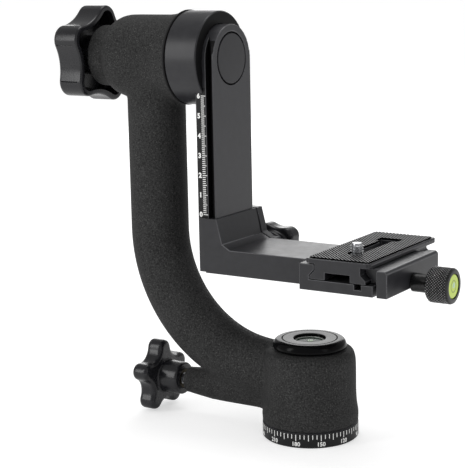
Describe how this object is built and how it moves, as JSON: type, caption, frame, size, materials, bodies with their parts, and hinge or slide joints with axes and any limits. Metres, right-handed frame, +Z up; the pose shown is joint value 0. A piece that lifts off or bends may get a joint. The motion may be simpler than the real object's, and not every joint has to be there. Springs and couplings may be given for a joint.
{
  "type": "gimbal tripod head",
  "caption": "Gimbal head: degree-dial base, curved cast arm, tilting drum and dovetail bar, sliding L-bracket, quick-release clamp with slotted camera plate, lobed locking knobs.",
  "frame": {"origin": "on the pan axis, on the flat underside of the base, at the mouth of the tripod socket", "axes": "+Z up along the pan axis, +X along the tilt axis from the arm towards the platform, +Y along the clamp's dovetail"},
  "size_m": [0.2172, 0.0735, 0.216],
  "materials": {
    "textured_black": "fine sand-textured black powder coat on cast aluminium",
    "satin_black": "satin black anodised aluminium",
    "gloss_black": "moulded black plastic with a soft gloss",
    "steel": "bright turned steel",
    "bronze": "turned bronze or brass",
    "white_plastic": "white low-friction plastic",
    "rubber_black": "black ribbed rubber",
    "level_green": "clear level filled with yellow-green liquid"
  },
  "bodies": {
    "base": {"base_dial": "satin_black", "pan_post": "steel", "thread_bushing": "steel", "base_screw_1": "steel", "base_screw_2": "steel", "base_screw_3": "steel", "pan_friction_washer": "white_plastic", "pan_top_washer": "steel", "pan_nut": "steel"},
    "arm": {"c_arm": "textured_black", "pan_bush": "bronze", "level_cap": "gloss_black", "base_level_vial": "level_green", "tilt_bush_inner": "bronze", "tilt_bush_outer": "bronze", "tilt_washer": "rubber_black"},
    "pan_brake": {"pan_brake_pad": "white_plastic"},
    "pan_lock": {"pan_lock_stud": "steel", "pan_lock_insert": "bronze", "pan_lock_knob": "gloss_black"},
    "tilt": {"tilt_shaft": "steel", "tilt_drum": "satin_black", "swing_bar": "satin_black", "bar_bolt": "steel", "bar_dowel_1": "steel", "bar_dowel_2": "steel", "bar_cap": "satin_black", "bar_stop_screw": "steel"},
    "tilt_brake": {"tilt_lock_washer": "steel"},
    "tilt_lock": {"tilt_knob_insert": "bronze", "tilt_lock_knob": "gloss_black"},
    "bracket": {"l_bracket": "satin_black", "clamp_base": "satin_black", "clamp_screw_1": "steel", "clamp_screw_2": "steel"},
    "bracket_grip": {"bracket_jaw": "satin_black"},
    "bracket_lock": {"bracket_clamp_screw": "steel", "bracket_clamp_knob": "gloss_black"},
    "jaw": {"movable_jaw": "satin_black", "jaw_guide_pin_1": "steel", "jaw_guide_pin_2": "steel"},
    "jaw_lock": {"jaw_screw": "steel", "jaw_knob": "satin_black", "knob_level_vial": "level_green"},
    "plate": {"quick_release_plate": "satin_black", "rubber_pad": "rubber_black"},
    "screw_carrier": {"camera_screw_washer": "white_plastic"},
    "camera_thumbscrew": {"camera_screw": "steel"}
  },
  "joints": [
    {"name": "pan", "type": "hinge", "parent": "base", "child": "arm", "pos_m": [0, 0, 0.0084], "axis": [0, 0, 1], "continuous": true},
    {"name": "pan_brake_travel", "type": "slide", "parent": "arm", "child": "pan_brake", "axis": [-1, 0, 0], "range_m": [0, 0.001]},
    {"name": "pan_lock_turn", "type": "hinge", "parent": "pan_brake", "child": "pan_lock", "pos_m": [-0.08, 0, 0.0181], "axis": [-1, 0, 0], "range_deg": [0, 360]},
    {"name": "tilt", "type": "hinge", "parent": "arm", "child": "tilt", "pos_m": [-0.069, 0, 0.1899], "axis": [1, 0, 0], "continuous": true},
    {"name": "tilt_brake_travel", "type": "slide", "parent": "tilt", "child": "tilt_brake", "axis": [-1, 0, 0], "range_m": [0, 0.00125]},
    {"name": "tilt_lock_turn", "type": "hinge", "parent": "tilt_brake", "child": "tilt_lock", "pos_m": [-0.13, 0, 0.1899], "axis": [-1, 0, 0], "range_deg": [0, 360]},
    {"name": "height", "type": "slide", "parent": "tilt", "child": "bracket", "axis": [0, 0, 1], "range_m": [0, 0.053]},
    {"name": "bracket_jaw_travel", "type": "slide", "parent": "bracket", "child": "bracket_grip", "axis": [0, 1, 0], "range_m": [0, 0.0016]},
    {"name": "bracket_knob_turn", "type": "hinge", "parent": "bracket_grip", "child": "bracket_lock", "pos_m": [-0.0389, 0.03, 0.0868], "axis": [0, 1, 0], "range_deg": [0, 720]},
    {"name": "clamp_jaw_travel", "type": "slide", "parent": "bracket", "child": "jaw", "axis": [1, 0, 0], "range_m": [0, 0.0028]},
    {"name": "clamp_knob_turn", "type": "hinge", "parent": "jaw", "child": "jaw_lock", "pos_m": [0.07, 0, 0.0853], "axis": [1, 0, 0], "range_deg": [0, 1440]},
    {"name": "plate_slide", "type": "slide", "parent": "bracket", "child": "plate", "axis": [0, 1, 0], "range_m": [-0.03, 0.02]},
    {"name": "screw_travel", "type": "slide", "parent": "plate", "child": "screw_carrier", "axis": [0, 1, 0], "range_m": [-0.002, 0.034]},
    {"name": "screw_turn", "type": "hinge", "parent": "screw_carrier", "child": "camera_thumbscrew", "pos_m": [0.0313, -0.008, 0.092], "axis": [0, 0, 1], "continuous": true}
  ],
  "couplings": [
    {"joint": "pan_lock_turn", "follows": "pan_brake_travel", "rad_per_m": 6283.2},
    {"joint": "tilt_lock_turn", "follows": "tilt_brake_travel", "rad_per_m": 5026.5},
    {"joint": "bracket_knob_turn", "follows": "bracket_jaw_travel", "rad_per_m": 7854},
    {"joint": "clamp_knob_turn", "follows": "clamp_jaw_travel", "rad_per_m": 8976}
  ]
}
